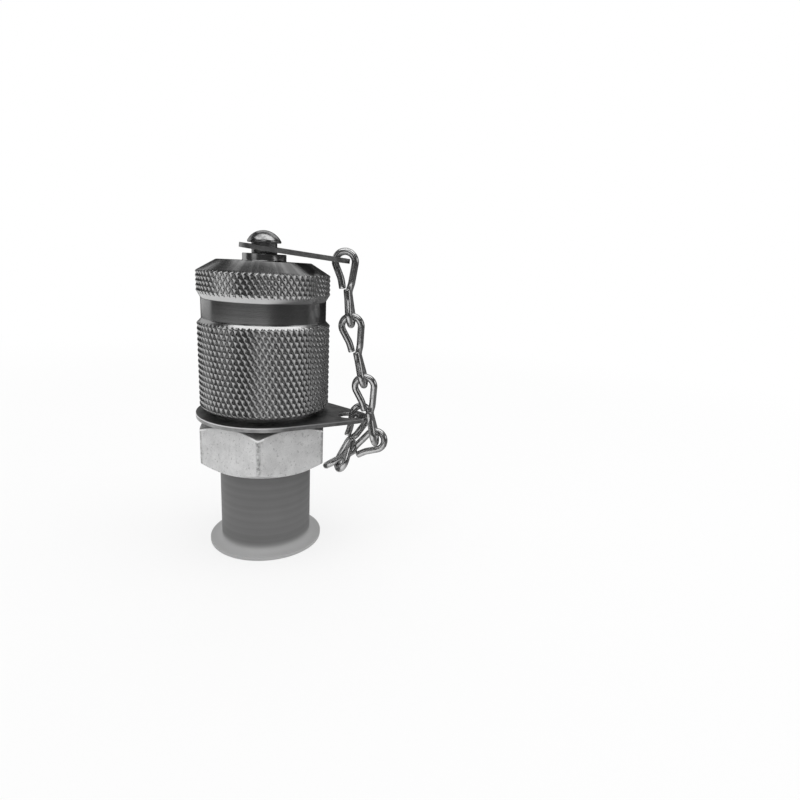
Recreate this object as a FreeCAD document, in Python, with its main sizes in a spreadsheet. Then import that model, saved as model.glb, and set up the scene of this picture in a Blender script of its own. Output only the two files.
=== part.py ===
# Hydraulic test point coupling: hex body with a check valve, knurled screw cap on a jack chain, and a
# push-on thread protector.
# Millimetres. The origin is on the turning axis, at the face that the protector stands on, with +Z up.
# The chain hangs in one upright plane through the axis, turned from +X by chain_angle.
import FreeCAD, Part
import math
import os

import Sketcher
from FreeCAD import Placement, Rotation, Vector

doc = FreeCAD.newDocument("test_point_coupling")

# Driving dimensions: alias, value and what it is. Lengths in millimetres, angles in degrees.
SIZES = [
    ("protector_skirt_d", 18.54, "outside of the protector's flange"),
    ("protector_wall", 0.78, "wall of the protector's sleeve"),
    ("protector_floor", 1.0, "thickness of the protector's closed end"),
    ("protector_lip", 0.6, "thickness of the flange at its edge"),
    ("protector_flare", 1.3, "height of the flare from flange to sleeve"),
    ("protector_gap", 0.15, "from the sleeve's mouth to the hex"),
    ("port_d", 13.157, "outside of the pipe thread at the port"),
    ("port_gap", 0.04, "play between port thread and protector"),
    ("port_end_gap", 0.4, "from the protector's floor to the port's end"),
    ("port_bevel", 1.0, "bevel at the port's end"),
    ("port_neck_d", 11.6, "undercut between port thread and hex"),
    ("port_neck_tall", 1.4, "height of that undercut below the hex"),
    ("port_seal_d", 16.4, "outside of the sealing ring under the hex"),
    ("port_seal_tall", 1.5, "height of the sealing ring"),
    ("seal_gap", 0.03, "room round a seal in its groove"),
    ("hex_low", 14.1, "height of the hex's lower face"),
    ("hex_tall", 7.8, "height of the hex"),
    ("hex_flats", 19.0, "across the flats"),
    ("hex_angle", 24.0, "turn of the first corner from +X"),
    ("hex_face_d", 18.4, "round face at each end of the hex"),
    ("hex_bevel", 1.1, "height of the bevel at the corners"),
    ("overrun", 1.0, "how far a cut or a joined length runs past the face it meets"),
    ("collar_tall", 1.7, "plain collar above the hex, which the ring turns on"),
    ("relief_d", 13.4, "thread relief above the collar"),
    ("relief_tall", 0.9, "height of the thread relief"),
    ("thread_d", 16.0, "outside of the cap thread"),
    ("thread_tall", 9.2, "length of the cap thread"),
    ("nose_d", 12.6, "plain nose above the thread"),
    ("nose_tall", 2.7, "height of the nose"),
    ("nose_bevel", 0.6, "bevel at the nose"),
    ("chamber_d", 7.8, "valve chamber"),
    ("ledge", 2.1, "height of the ledge under the seat insert above the hex's top"),
    ("seat_d", 9.2, "bore for the seat insert"),
    ("press_gap", 0.02, "room round a pressed-in piece"),
    ("seat_sunk", 0.5, "depth of the insert's top below the nose"),
    ("seat_bore_d", 3.8, "valve bore through the insert"),
    ("seat_land", 4.0, "length of the valve bore"),
    ("probe_bore_d", 5.2, "bore for the test probe"),
    ("probe_bevel", 0.6, "lead-in at the insert's top"),
    ("probe_ring_d", 1.5, "cross-section of the probe seal"),
    ("probe_ring_over", 0.3, "how far the probe seal stands into the bore"),
    ("probe_ring_deep", 4.0, "depth of the probe seal's middle below the insert's top"),
    ("stem_d", 2.4, "poppet stem"),
    ("stem_sunk", 0.7, "depth of the stem's tip below the insert's top"),
    ("valve_neck_d", 3.4, "poppet neck inside its seal"),
    ("valve_ring_d", 1.2, "cross-section of the poppet seal"),
    ("valve_gap", 0.04, "from the poppet seal to its seat"),
    ("valve_head_d", 7.0, "poppet head"),
    ("valve_head_tall", 3.4, "height of the poppet head"),
    ("valve_flute_d", 2.0, "flow flutes in the head"),
    ("valve_flutes", 4, "how many flutes"),
    ("valve_tail_d", 3.2, "spring guide under the head"),
    ("valve_tail_tall", 2.4, "length of the spring guide"),
    ("spring_wire_d", 0.8, "valve spring wire"),
    ("spring_mean_d", 5.2, "valve spring, middle of the wire"),
    ("spring_turns", 6.5, "turns of the spring"),
    ("retainer_tall", 1.2, "perforated disc under the spring"),
    ("retainer_gap", 0.08, "play of the disc in the chamber"),
    ("retainer_hole_d", 1.5, "flow holes in the disc"),
    ("retainer_holes", 6, "how many flow holes"),
    ("retainer_circle_d", 5.0, "circle of the flow holes"),
    ("clip_tall", 0.8, "thickness of the retaining clip"),
    ("clip_low", 2.0, "height of the clip above the port's end"),
    ("clip_deep", 0.5, "depth of the clip's groove"),
    ("clip_wide", 1.1, "radial width of the clip"),
    ("clip_angle", 50.0, "opening of the clip, in degrees"),
    ("sheet", 0.7, "thickness of the ring's and the strap's sheet"),
    ("ring_gap", 0.1, "from the hex to the ring that lies on it"),
    ("ring_play", 0.2, "play of the ring round the collar"),
    ("ring_inset", 0.109, "from the hex's corners in to the ring's edge"),
    ("ring_past", 2.8, "how much further than the strap the ring's tail reaches"),
    ("ring_tip_r", 2.9, "radius of the tail's end"),
    ("ring_eye_back", 0.1, "from the eye's middle to the middle of the tail's end"),
    ("ring_eye_d", 3.6, "eye in the tail"),
    ("cap_gap", 1.05, "from the ring to the cap's lower edge"),
    ("cap_edge", 0.35, "bevel at the cap's lower edge"),
    ("knurl_d", 20.54, "outside of the lower knurl"),
    ("knurl_tall", 13.15, "height of the lower knurl"),
    ("knurl_count", 69, "points of the knurls round the cap"),
    ("knurl_rows", 15, "rows of points up the lower knurl"),
    ("knurl_deep", 0.3, "depth of the knurls' grooves"),
    ("knurl_bed", 0.05, "how far the turned metal lies below the grooves and past a knurl's ends"),
    ("knurl_seat", 0.2, "how far a knurl's metal runs on below its grooves"),
    ("neck_bevel", 0.65, "height of the bevel above the lower knurl"),
    ("neck_d", 19.22, "plain neck band"),
    ("neck_tall", 3.25, "height of the neck band"),
    ("rim_bevel", 1.0, "height of the bevel below the rim"),
    ("rim_d", 20.46, "outside of the knurled rim"),
    ("rim_tall", 2.9, "height of the knurled rim"),
    ("rim_rows", 4, "rows of points up the rim"),
    ("cone_tall", 1.8, "height of the top cone"),
    ("top_d", 14.4, "flat on top"),
    ("boss_d", 6.68, "boss on top"),
    ("boss_tall", 1.1, "height of the boss"),
    ("cap_thread_gap", 0.06, "play of the cap on the thread"),
    ("cap_mouth_gap", 0.45, "room between the thread and the cap's plain mouth"),
    ("cap_grip", 4.0, "length of thread that the screwed-down cap holds on"),
    ("cap_roof_gap", 0.6, "from the nose to the cap's roof"),
    ("cap_ring_d", 1.9, "cross-section of the cap seal"),
    ("cap_ring_drop", 1.0, "depth of the cap seal's middle below the nose's top"),
    ("cap_well_d", 9.0, "well in the cap's roof"),
    ("cap_well_tall", 3.0, "depth of the well"),
    ("rivet_d", 3.1, "rivet shank in the boss"),
    ("rivet_deep", 5.0, "length of the shank in the boss"),
    ("rivet_neck_d", 3.9, "rivet shoulder, which the strap turns on"),
    ("rivet_neck_tall", 1.65, "height of the shoulder"),
    ("rivet_head_d", 5.14, "rivet head"),
    ("rivet_rim", 0.25, "straight edge of the head"),
    ("rivet_dome", 1.6, "height of the dome"),
    ("strap_up", 0.85, "from the boss to the strap's middle at the axis"),
    ("strap_tilt", 5.6, "droop of the strap"),
    ("strap_hole_d", 4.5, "hole for the rivet"),
    ("strap_end_r", 3.8, "radius of the strap round the rivet"),
    ("strap_reach", 11.2, "from the rivet to the middle of the strap's end"),
    ("strap_tip_r", 2.2, "radius of the strap's end"),
    ("strap_eye_back", 0.6, "from the eye's middle to the middle of the strap's end"),
    ("strap_eye_d", 2.8, "eye in the strap's end"),
    ("chain_angle", -18.0, "turn of the chain's plane from +X"),
    ("wire_d", 1.1, "chain wire"),
    ("wire_gap", 0.22, "room between two wires that hang in each other"),
    ("link_long", 12.3, "length of a link over the wire"),
    ("link_wide", 4.2, "width of a link's loop over the wire"),
    ("link_neck", 0.9, "between a loop's two legs at the link's middle, on their centre lines"),
    ("link_shut", 0.2, "room between a wire end and the leg beside it"),
    ("link_bend", 0.9, "from the link's middle up to where the wire leaves a loop's plane"),
    ("strap_hang", 1.4, "from the first link's crown line to the middle of the strap's eye web"),
    ("link_1_lean_angle", 7.2, "lean of the first link, outwards at its foot"),
    ("link_2_lean_angle", 14.2, "lean of the second link"),
    ("link_3_lean_angle", 13.2, "lean of the third link"),
    ("link_4_lean_angle", -57.186, "lean of the fourth link"),
    ("link_4_side_angle", 4.866, "its lean sideways"),
    ("link_4_roll_angle", 165.183, "its turn on its own axis"),
    ("link_4_across", -0.363, "across its upper loop to the third link's crown"),
    ("link_4_seat", 3.925, "from its middle up to the third link's crown"),
    ("link_5_lean_angle", -18.482, "lean of the fifth link"),
    ("link_5_side_angle", -16.103, "its lean sideways"),
    ("link_5_roll_angle", 31.138, "its turn on its own axis"),
    ("link_5_inset", 0.014, "its seat inwards from the outer edge of the ring's eye"),
    ("link_5_over", 1.257, "its seat to the side of the chain's plane"),
    ("link_5_hang", 1.684, "from its crown line to its seat"),
]

sheet = doc.addObject("Spreadsheet::Sheet", "Sizes")
for row, (alias, value, meaning) in enumerate(SIZES, start=1):
    sheet.set("A%d" % row, str(value))
    sheet.set("B%d" % row, meaning)
    sheet.setAlias("A%d" % row, alias)
doc.recompute()


class Size:
    """A dimension of the sheet, or a sum worked out from some: its number and its expression."""

    def __init__(self, value, text):
        self.value = value
        self.text = text

    def join(self, other, sign, number):
        text = other.text if isinstance(other, Size) else repr(float(other))
        return Size(number, "(%s %s %s)" % (self.text, sign, text))

    def __add__(self, other):
        return self.join(other, "+", self.value + number_of(other))

    def __sub__(self, other):
        return self.join(other, "-", self.value - number_of(other))

    def __mul__(self, other):
        return self.join(other, "*", self.value * number_of(other))

    def __truediv__(self, other):
        return self.join(other, "/", self.value / number_of(other))

    def __neg__(self):
        return self * -1


def number_of(size):
    return size.value if isinstance(size, Size) else float(size)


def cell(alias):
    return Size(float(sheet.get(alias)), "Sizes." + alias)


size = {alias: cell(alias) for alias, value, meaning in SIZES}


HEX_SIDES = 6

# Heights of the faces that pieces share, and other places they share.
port_end = size["protector_floor"] + size["port_end_gap"]
hex_top = size["hex_low"] + size["hex_tall"]
hex_corner = size["hex_flats"] / (2 * math.cos(math.pi / HEX_SIDES))
collar_top = hex_top + size["collar_tall"]
thread_low = collar_top + size["relief_tall"]
thread_top = thread_low + size["thread_tall"]
nose_top = thread_top + size["nose_tall"]
seat_low = hex_top + size["ledge"]
seat_top = nose_top - size["seat_sunk"]
ring_low = hex_top + size["ring_gap"]
cap_low = ring_low + size["sheet"] + size["cap_gap"]
knurl_top = cap_low + size["knurl_tall"]
neck_low = knurl_top + size["neck_bevel"]
neck_top = neck_low + size["neck_tall"]
rim_low = neck_top + size["rim_bevel"]
rim_top = rim_low + size["rim_tall"]
cap_top = rim_top + size["cone_tall"]
boss_top = cap_top + size["boss_tall"]
cap_roof = nose_top + size["cap_roof_gap"]
strap_mid = boss_top + size["strap_up"]
strap_eye = size["strap_reach"] - size["strap_eye_back"]
ring_reach = size["strap_reach"] + size["ring_past"]
ring_eye = ring_reach - size["ring_eye_back"]
clip_low = port_end + size["clip_low"]
retainer_low = clip_low + size["clip_tall"]
spring_low = retainer_low + size["retainer_tall"]
valve_ring_mid = seat_low - size["valve_gap"] - size["valve_ring_d"] / 2
valve_shoulder = valve_ring_mid - size["valve_ring_d"] / 2
spring_top = valve_shoulder - size["valve_head_tall"]


def add_body(label):
    body = doc.addObject("PartDesign::Body", label)
    body.Label = label
    return body


def add_sketch(body, name, role, lift=None):
    """Sketch on one of the body's own origin planes, raised by lift."""
    sketch = body.newObject("Sketcher::SketchObject", name)
    plane = [item for item in body.Origin.OriginFeatures if item.Role == role][0]
    sketch.AttachmentSupport = [(plane, "")]
    sketch.MapMode = "FlatFace"
    if lift is not None:
        sketch.setExpression("AttachmentOffset.Base.z", lift.text)
    return sketch


def pin_value(sketch, constraint, size_of):
    """Add a dimension to a sketch and tie it to the sheet."""
    index = sketch.addConstraint(constraint)
    if isinstance(size_of, Size):
        sketch.setExpression("Constraints[%d]" % index, size_of.text)


def pin_point(sketch, geo, end, point):
    """Place one point of a sketch by its two coordinates; a zero lies on the axis itself."""
    across, up = point
    if number_of(across) == 0:
        sketch.addConstraint(Sketcher.Constraint("PointOnObject", geo, end, -2))
    else:
        pin_value(sketch, Sketcher.Constraint("DistanceX", -1, 1, geo, end, number_of(across)), across)
    if number_of(up) == 0:
        sketch.addConstraint(Sketcher.Constraint("PointOnObject", geo, end, -1))
    else:
        pin_value(sketch, Sketcher.Constraint("DistanceY", -1, 1, geo, end, number_of(up)), up)


def draw_outline(sketch, points, dome=None):
    """Closed outline through the points; the edge that starts at point dome is an arc centred on the axis."""
    ends = [Vector(number_of(across), number_of(up), 0) for across, up in points]
    for index, start in enumerate(ends):
        stop = ends[(index + 1) % len(ends)]
        if index == dome:
            drop = stop.y - start.y
            radius = (start.x ** 2 + drop ** 2) / (2 * drop)
            circle = Part.Circle(Vector(0, stop.y - radius, 0), Vector(0, 0, 1), radius)
            first = math.atan2(start.y - circle.Center.y, start.x)
            sketch.addGeometry(Part.ArcOfCircle(circle, first, math.pi / 2), False)
            sketch.addConstraint(Sketcher.Constraint("PointOnObject", index, 3, -2))
        else:
            sketch.addGeometry(Part.LineSegment(start, stop), False)
    for index, point in enumerate(points):
        following = (index + 1) % len(points)
        sketch.addConstraint(Sketcher.Constraint("Coincident", index, 2, following, 1))
        pin_point(sketch, index, 1, point)


def draw_circle(sketch, middle, radius):
    """Circle with a tied middle on the sketch's first axis and a tied radius."""
    circle = Part.Circle(Vector(number_of(middle), 0, 0), Vector(0, 0, 1), number_of(radius))
    geo = sketch.addGeometry(circle, False)
    pin_point(sketch, geo, 3, (middle, 0))
    pin_value(sketch, Sketcher.Constraint("Radius", geo, number_of(radius)), radius)


def turn(body, name, points, cut=False, dome=None):
    """Turn an outline of radii and heights round the axis, as metal or as a cut."""
    sketch = add_sketch(body, name + "_outline", "XZ_Plane")
    draw_outline(sketch, points, dome)
    feature = body.newObject("PartDesign::Groove" if cut else "PartDesign::Revolution", name)
    feature.Profile = sketch
    feature.ReferenceAxis = (sketch, ["V_Axis"])
    feature.Angle = 360.0
    doc.recompute()
    return feature


def pad(body, name, sketch, height):
    feature = body.newObject("PartDesign::Pad", name)
    feature.Profile = sketch
    feature.setExpression("Length", height.text)
    doc.recompute()
    return feature


def half(alias):
    return size[alias] / 2


def round_seal(label, mean_d, wire_d, height):
    """O-ring lying flat on the axis."""
    ring = doc.addObject("Part::Torus", label)
    ring.Label = label
    ring.setExpression("Radius1", (mean_d / 2).text)
    ring.setExpression("Radius2", (wire_d / 2).text)
    ring.setExpression("Placement.Base.z", height.text)
    return ring


def make_coupling_body():
    """Hex with the port thread below and the cap thread above, bored through for the valve."""
    body = add_body("coupling_body")
    hexagon = add_sketch(body, "hex_outline", "XY_Plane", size["hex_low"])
    corners = []
    for index in range(HEX_SIDES):
        angle = 2 * math.pi * index / HEX_SIDES
        corners.append((hex_corner * round(math.cos(angle), 9), hex_corner * round(math.sin(angle), 9)))
    draw_outline(hexagon, corners)
    hexagon.setExpression("AttachmentOffset.Rotation.Angle", size["hex_angle"].text)
    pad(body, "hex_bar", hexagon, size["hex_tall"])

    face = half("hex_face_d")
    beyond = hex_corner + size["overrun"]
    slope = size["hex_bevel"] / (hex_corner - face)
    rise = slope * (beyond - face)
    low = size["hex_low"]
    turn(body, "lower_bevel", [(face, low), (beyond, low), (beyond, low + rise)], cut=True)
    turn(body, "upper_bevel", [(face, hex_top), (beyond, hex_top), (beyond, hex_top - rise)], cut=True)

    port = half("port_d")
    neck = half("port_neck_d")
    neck_end = low - size["port_neck_tall"]
    inside = low + size["overrun"]
    turn(body, "port", [
        (0, port_end), (port - size["port_bevel"], port_end), (port, port_end + size["port_bevel"]),
        (port, neck_end), (neck, neck_end), (neck, inside), (0, inside)])
    thread = half("thread_d")
    relief = half("relief_d")
    nose = half("nose_d")
    root = hex_top - size["overrun"]
    bevel = size["nose_bevel"]
    turn(body, "nose", [
        (0, root), (thread, root), (thread, collar_top), (relief, collar_top), (relief, thread_low),
        (thread - bevel, thread_low), (thread, thread_low + bevel), (thread, thread_top - bevel),
        (thread - bevel, thread_top), (nose, thread_top), (nose, nose_top - bevel), (nose - bevel, nose_top),
        (0, nose_top)])

    seal_out = half("port_seal_d") + size["seal_gap"]
    seal_top = low + size["port_seal_tall"]
    turn(body, "port_seal_groove", [
        (neck, low), (seal_out, low), (seal_out, seal_top), (neck, seal_top)], cut=True)
    chamber = half("chamber_d")
    seat = half("seat_d")
    groove = chamber + size["clip_deep"]
    clip_top = clip_low + size["clip_tall"]
    turn(body, "valve_bore", [
        (0, port_end), (chamber, port_end), (chamber, clip_low), (groove, clip_low), (groove, clip_top),
        (chamber, clip_top), (chamber, seat_low), (seat, seat_low), (seat, nose_top),
        (0, nose_top)], cut=True)
    return body


def make_port_seal():
    """Square-section sealing ring, captive in the groove under the hex."""
    body = add_body("port_seal")
    inside = half("port_neck_d") + size["seal_gap"]
    outside = half("port_seal_d")
    low = size["hex_low"]
    top = low + size["port_seal_tall"] - size["seal_gap"]
    turn(body, "ring", [(inside, low), (outside, low), (outside, top), (inside, top)])
    return body


def make_valve_seat():
    """Insert pressed into the nose: flat seat and valve bore below, probe bore with its seal groove above."""
    body = add_body("valve_seat")
    outside = half("seat_d") - size["press_gap"]
    bore = half("seat_bore_d")
    land_top = seat_low + size["seat_land"]
    probe = half("probe_bore_d")
    bevel = size["probe_bevel"]
    mid = seat_top - size["probe_ring_deep"]
    groove_half = half("probe_ring_d") + size["seal_gap"]
    groove = probe - size["probe_ring_over"] + size["probe_ring_d"] + size["seal_gap"]
    turn(body, "insert", [
        (bore, seat_low), (outside, seat_low), (outside, seat_top), (probe + bevel, seat_top),
        (probe, seat_top - bevel), (probe, mid + groove_half), (groove, mid + groove_half),
        (groove, mid - groove_half), (probe, mid - groove_half), (probe, land_top), (bore, land_top)])
    return body


def make_probe_seal():
    mean = size["probe_bore_d"] - size["probe_ring_over"] * 2 + size["probe_ring_d"]
    return round_seal("probe_seal", mean, size["probe_ring_d"], seat_top - size["probe_ring_deep"])


def make_valve_poppet():
    """Poppet with a long stem to be pushed by the probe, a fluted head and a spring guide."""
    body = add_body("valve_poppet")
    stem = half("stem_d")
    neck = half("valve_neck_d")
    head = half("valve_head_d")
    tail = half("valve_tail_d")
    neck_top_here = seat_low + size["valve_ring_d"]
    cone_top = neck_top_here + neck - stem
    tail_end = spring_top - size["valve_tail_tall"]
    tip = seat_top - size["stem_sunk"]
    turn(body, "poppet", [
        (0, tail_end), (tail, tail_end), (tail, spring_top), (head, spring_top), (head, valve_shoulder),
        (neck, valve_shoulder), (neck, neck_top_here), (stem, cone_top), (stem, tip), (0, tip)])
    flute = add_sketch(body, "flute_outline", "XY_Plane", spring_top)
    draw_circle(flute, head, half("valve_flute_d"))
    cut = body.newObject("PartDesign::Pocket", "flute")
    cut.Profile = flute
    cut.Reversed = True
    cut.setExpression("Length", size["valve_head_tall"].text)
    doc.recompute()
    around(body, "flutes", cut, flute, size["valve_flutes"])
    return body


def around(body, name, feature, sketch, count):
    """Repeat a feature evenly round the axis."""
    pattern = body.newObject("PartDesign::PolarPattern", name)
    pattern.Originals = [feature]
    pattern.Axis = (sketch, ["N_Axis"])
    pattern.Angle = 360.0
    pattern.setExpression("Occurrences", count.text)
    body.Tip = pattern
    doc.recompute()
    return pattern


def make_poppet_seal():
    mean = size["valve_neck_d"] + size["valve_ring_d"] + size["seal_gap"]
    return round_seal("poppet_seal", mean, size["valve_ring_d"], valve_ring_mid)


def make_valve_spring():
    """Round wire swept along a helix between the perforated disc and the poppet's head."""
    wire = number_of(size["spring_wire_d"])
    radius = number_of(half("spring_mean_d"))
    low = number_of(spring_low) + wire / 2 + number_of(size["press_gap"])
    tall = number_of(spring_top) - number_of(spring_low) - wire - 2 * number_of(size["press_gap"])
    path = Part.makeHelix(tall / number_of(size["spring_turns"]), tall, radius)
    section = Part.Wire(Part.Circle(Vector(radius, 0, 0), Vector(0, 1, 0), wire / 2).toShape())
    spring = doc.addObject("Part::Feature", "valve_spring")
    spring.Label = "valve_spring"
    spring.Shape = Part.Wire(path.Edges).makePipeShell([section], True, True)
    spring.Placement = Placement(Vector(0, 0, low), Rotation())
    return spring


def make_spring_retainer():
    """Perforated disc that the spring stands on."""
    body = add_body("spring_retainer")
    disc = add_sketch(body, "disc_outline", "XY_Plane", retainer_low)
    draw_circle(disc, 0, half("chamber_d") - size["retainer_gap"])
    pad(body, "disc", disc, size["retainer_tall"])
    hole = add_sketch(body, "hole_outline", "XY_Plane", retainer_low)
    draw_circle(hole, half("retainer_circle_d"), half("retainer_hole_d"))
    cut = body.newObject("PartDesign::Pocket", "flow_hole")
    cut.Profile = hole
    cut.Reversed = True
    cut.setExpression("Length", size["retainer_tall"].text)
    doc.recompute()
    around(body, "flow_holes", cut, hole, size["retainer_holes"])
    return body


def make_retaining_clip():
    """Open snap ring in the groove below the perforated disc."""
    outside = number_of(half("chamber_d") + size["clip_deep"] - size["press_gap"] * 2)
    inside = outside - number_of(size["clip_wide"])
    opening = math.radians(number_of(size["clip_angle"]))
    tall = number_of(size["clip_tall"]) - 2 * number_of(size["press_gap"])
    ends = (opening / 2, 2 * math.pi - opening / 2)
    axis = Vector(0, 0, 1)
    outer = Part.ArcOfCircle(Part.Circle(Vector(0, 0, 0), axis, outside), *ends)
    inner = Part.ArcOfCircle(Part.Circle(Vector(0, 0, 0), axis, inside), *ends)
    first = Part.LineSegment(inner.StartPoint, outer.StartPoint)
    last = Part.LineSegment(outer.EndPoint, inner.EndPoint)
    outline = Part.Wire([first.toShape(), outer.toShape(), last.toShape(), inner.toShape()])
    clip = doc.addObject("Part::Feature", "retaining_clip")
    clip.Label = "retaining_clip"
    clip.Shape = Part.Face(outline).extrude(Vector(0, 0, tall))
    clip.Placement = Placement(Vector(0, 0, number_of(clip_low + size["press_gap"])), Rotation())
    return clip


def make_thread_protector():
    """Plastic sleeve pushed over the port thread, closed below, with a flared flange to pull it off by."""
    body = add_body("thread_protector")
    inside = half("port_d") + size["port_gap"]
    outside = inside + size["protector_wall"]
    skirt = half("protector_skirt_d")
    mouth = size["hex_low"] - size["protector_gap"]
    floor = size["protector_floor"]
    turn(body, "sleeve", [
        (0, 0), (skirt, 0), (skirt, size["protector_lip"]), (outside, size["protector_flare"]),
        (outside, mouth), (inside, mouth), (inside, floor), (0, floor)])
    return body


def draw_tail_plate(sketch, big, small, reach):
    """Plate with a round end at the axis, a smaller one at reach and straight sides that touch both."""
    lean = (number_of(big) - number_of(small)) / number_of(reach)
    angle = math.acos(lean)
    axis = Vector(0, 0, 1)
    middle = Vector(number_of(reach), 0, 0)
    big_circle = Part.Circle(Vector(0, 0, 0), axis, number_of(big))
    small_circle = Part.Circle(middle, axis, number_of(small))
    big_arc = Part.ArcOfCircle(big_circle, angle, 2 * math.pi - angle)
    small_arc = Part.ArcOfCircle(small_circle, -angle, angle)
    lower = Part.LineSegment(big_arc.EndPoint, small_arc.StartPoint)
    upper = Part.LineSegment(small_arc.EndPoint, big_arc.StartPoint)
    sketch.addGeometry([big_arc, lower, small_arc, upper], False)
    for index in range(4):
        sketch.addConstraint(Sketcher.Constraint("Tangent", index, 2, (index + 1) % 4, 1))
    pin_point(sketch, 0, 3, (0, 0))
    pin_point(sketch, 2, 3, (reach, 0))
    pin_value(sketch, Sketcher.Constraint("Radius", 0, number_of(big)), big)
    pin_value(sketch, Sketcher.Constraint("Radius", 2, number_of(small)), small)


def make_chain_ring():
    """Flat ring round the collar, with a tail and an eye for the last link."""
    body = add_body("chain_ring")
    outline = add_sketch(body, "ring_outline", "XY_Plane", ring_low)
    draw_tail_plate(outline, hex_corner - size["ring_inset"], size["ring_tip_r"], ring_reach)
    draw_circle(outline, 0, half("thread_d") + size["ring_play"])
    draw_circle(outline, ring_eye, half("ring_eye_d"))
    pad(body, "ring", outline, size["sheet"])
    body.setExpression("Placement.Rotation.Angle", size["chain_angle"].text)
    return body


def make_knurl(name, low, high, crest, rows_of):
    """Ring with a diamond knurl outside: four-sided points between two sets of grooves that cross.

    Row by row the points are shifted by half a pitch. Places round the axis are counted in half pitches, so
    the grooves cross at every second place of a row and a point stands at each place between.
    """
    count = int(number_of(size["knurl_count"]))
    rows = int(number_of(rows_of))
    root = number_of(crest - size["knurl_deep"])
    step = number_of(high - low) / rows

    def spot(radius, place, row):
        angle = math.pi * place / count
        return Vector(radius * math.cos(angle), radius * math.sin(angle), number_of(low) + step * row)

    facets = []
    for row in range(rows + 1):
        for place in range(row % 2 + 1, row % 2 + 2 * count, 2):
            point = spot(number_of(crest), place, row)
            before, after = spot(root, place - 1, row), spot(root, place + 1, row)
            for other in (row - 1, row + 1):
                if 0 <= other <= rows:
                    crossing = spot(root, place, other)
                    facets.append((point, before, crossing))
                    facets.append((point, crossing, after))
    faces = [Part.Face(Part.makePolygon([*facet, facet[0]])) for facet in facets]
    inside = root - number_of(size["knurl_seat"])
    circles = []
    for row in (0, rows):
        places = range(row % 2, row % 2 + 2 * count + 1)
        edge = [spot(root if (place - row) % 2 == 0 else number_of(crest), place, row) for place in places]
        edge[-1] = edge[0]
        circles.append(Part.makeCircle(inside, Vector(0, 0, edge[0].z)))
        bounds = [Part.makePolygon(edge), Part.Wire(circles[-1])]
        faces.append(Part.makeFace(bounds, "Part::FaceMakerBullseye"))
    faces.append(Part.makeRuledSurface(*circles))
    shell = Part.Shell(faces)
    shell.sewShape()
    ring = doc.addObject("Part::Feature", name)
    ring.Shape = Part.Solid(shell)
    return ring


def make_cap_shell():
    """Screw cap: knurled grip, plain band and knurled rim, a cone and a boss; bored for thread and nose."""
    body = add_body("cap_core")
    bore = half("thread_d") + size["cap_thread_gap"]
    edge = size["cap_edge"]
    bed = size["knurl_bed"]
    knurl = half("knurl_d") - size["knurl_deep"] - bed
    neck = half("neck_d")
    rim = half("rim_d") - size["knurl_deep"] - bed
    boss = half("boss_d")
    seal_mid = nose_top - size["cap_ring_drop"]
    groove_half = half("cap_ring_d") + size["seal_gap"]
    groove = half("nose_d") + size["seal_gap"] * 3 + size["cap_ring_d"]
    well = half("cap_well_d")
    well_top = cap_roof + size["cap_well_tall"]
    mouth = half("thread_d") + size["cap_mouth_gap"]
    mouth_top = thread_top - size["cap_grip"]
    turn(body, "cap", [
        (mouth, mouth_top), (mouth, cap_low), (knurl - edge, cap_low), (knurl, cap_low + edge),
        (knurl, knurl_top), (neck, neck_low), (neck, neck_top), (rim, rim_low), (rim, rim_top),
        (half("top_d"), cap_top), (boss, cap_top), (boss, boss_top), (0, boss_top), (0, well_top),
        (well, well_top), (well, cap_roof), (bore, cap_roof), (bore, seal_mid + groove_half),
        (groove, seal_mid + groove_half), (groove, seal_mid - groove_half), (bore, seal_mid - groove_half),
        (bore, mouth_top)])
    shank = half("rivet_d")
    deep = boss_top - size["rivet_deep"]
    turn(body, "rivet_hole", [(0, deep), (shank, deep), (shank, boss_top), (0, boss_top)], cut=True)

    grip_low = cap_low + edge + bed
    shell = doc.addObject("Part::MultiFuse", "cap_shell")
    shell.Label = "cap_shell"
    shell.Shapes = [
        body,
        make_knurl("grip_knurl", grip_low, knurl_top - bed, half("knurl_d"), size["knurl_rows"]),
        make_knurl("rim_knurl", rim_low + bed, rim_top - bed, half("rim_d"), size["rim_rows"]),
    ]
    doc.recompute()
    return shell


def make_cap_seal():
    mean = size["nose_d"] + size["seal_gap"] * 4 + size["cap_ring_d"]
    return round_seal("cap_seal", mean, size["cap_ring_d"], nose_top - size["cap_ring_drop"])


def make_cap_rivet():
    """Shouldered rivet with a dome head, pressed into the boss."""
    body = add_body("cap_rivet")
    shank = half("rivet_d") - size["press_gap"]
    neck = half("rivet_neck_d")
    head = half("rivet_head_d")
    low = boss_top - size["rivet_deep"] + size["press_gap"]
    head_low = boss_top + size["rivet_neck_tall"]
    rim = head_low + size["rivet_rim"]
    turn(body, "rivet", [
        (0, low), (shank, low), (shank, boss_top), (neck, boss_top), (neck, head_low), (head, head_low),
        (head, rim), (0, rim + size["rivet_dome"])], dome=6)
    return body


def chain_frame(lean=0.0, side=0.0, roll=0.0):
    """Turn of a piece in the chain's plane: own roll, lean outwards at the foot, then lean sideways."""
    up = Vector(0, 0, 1)
    plane = Rotation(up, number_of(size["chain_angle"]))
    return plane * Rotation(Vector(1, 0, 0), side) * Rotation(Vector(0, 1, 0), -lean) * Rotation(up, roll)


def make_cap_strap():
    """Flat strap from the rivet to the first link, drooping towards the chain."""
    body = add_body("cap_strap")
    outline = add_sketch(body, "strap_outline", "XY_Plane", -size["sheet"] / 2)
    draw_tail_plate(outline, size["strap_end_r"], size["strap_tip_r"], size["strap_reach"])
    draw_circle(outline, 0, half("strap_hole_d"))
    draw_circle(outline, strap_eye, half("strap_eye_d"))
    pad(body, "strap", outline, size["sheet"])
    droop = chain_frame(lean=-number_of(size["strap_tilt"]))
    body.Placement = Placement(Vector(0, 0, number_of(strap_mid)), droop)
    return body


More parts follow.
